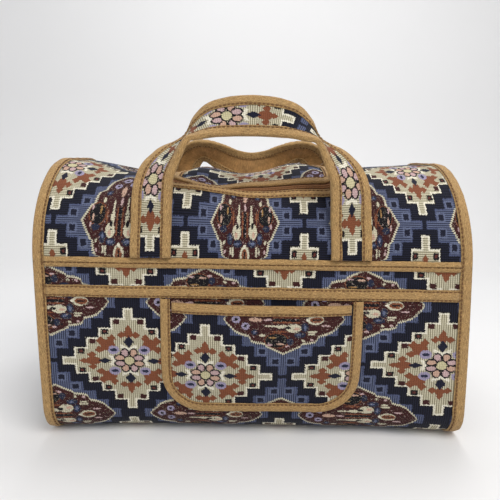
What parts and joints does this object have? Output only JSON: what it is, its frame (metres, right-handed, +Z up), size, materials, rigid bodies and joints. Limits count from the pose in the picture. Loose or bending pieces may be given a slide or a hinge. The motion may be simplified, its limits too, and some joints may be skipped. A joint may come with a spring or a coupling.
{
  "type": "carpet bag",
  "caption": "Soft barrel-topped travel bag of carpet cloth bound in tan tape, with a zipped top flap, a front patch pocket and two strap handles.",
  "frame": {"origin": "middle of the flat base, on the surface that the bag stands on", "axes": "+X to the bag's right along its length, -Y to its front, +Z up"},
  "size_m": [0.4382, 0.2703, 0.3517],
  "materials": {
    "carpet_cloth": "ribbed jacquard weave",
    "binding_tape": "matt twill tape",
    "handle_lining": "satin, creased",
    "zip_tape": "matt",
    "zip_coil": "satin",
    "zip_metal": "antique",
    "board": "raw fibreboard"
  },
  "bodies": {
    "bag": {"lower_wrap": "carpet_cloth", "upper_wrap": "carpet_cloth", "left_end_panel": "carpet_cloth", "right_end_panel": "carpet_cloth", "pocket_panel": "carpet_cloth", "top_flap": "carpet_cloth", "front_handle_cloth": "carpet_cloth", "rear_handle_cloth": "carpet_cloth", "left_end_binding": "binding_tape", "right_end_binding": "binding_tape", "front_seam_tape": "binding_tape", "back_seam_tape": "binding_tape", "front_band_tape": "binding_tape", "pocket_edge_binding": "binding_tape", "pocket_mouth_binding": "binding_tape", "mouth_binding": "binding_tape", "flap_binding": "binding_tape", "front_handle_outer_tape": "binding_tape", "front_handle_inner_tape": "binding_tape", "rear_handle_outer_tape": "binding_tape", "rear_handle_inner_tape": "binding_tape", "front_handle_lining": "handle_lining", "rear_handle_lining": "handle_lining", "zip_tape_mouth": "zip_tape", "zip_tape_flap": "zip_tape", "zip_coil_mouth": "zip_coil", "zip_coil_flap": "zip_coil", "base_board": "board"},
    "slider": {"zip_slider": "zip_metal"},
    "pull": {"zip_pull_tab": "zip_metal"}
  },
  "joints": [
    {"name": "zip_slide", "type": "slide", "parent": "bag", "child": "slider", "axis": [0, 1, 0], "range_m": [-0.036, 0]},
    {"name": "pull_hinge", "type": "hinge", "parent": "slider", "child": "pull", "pos_m": [0.092, 0.018, 0.28555], "axis": [1, 0, 0], "range_deg": [0, 180]}
  ]
}
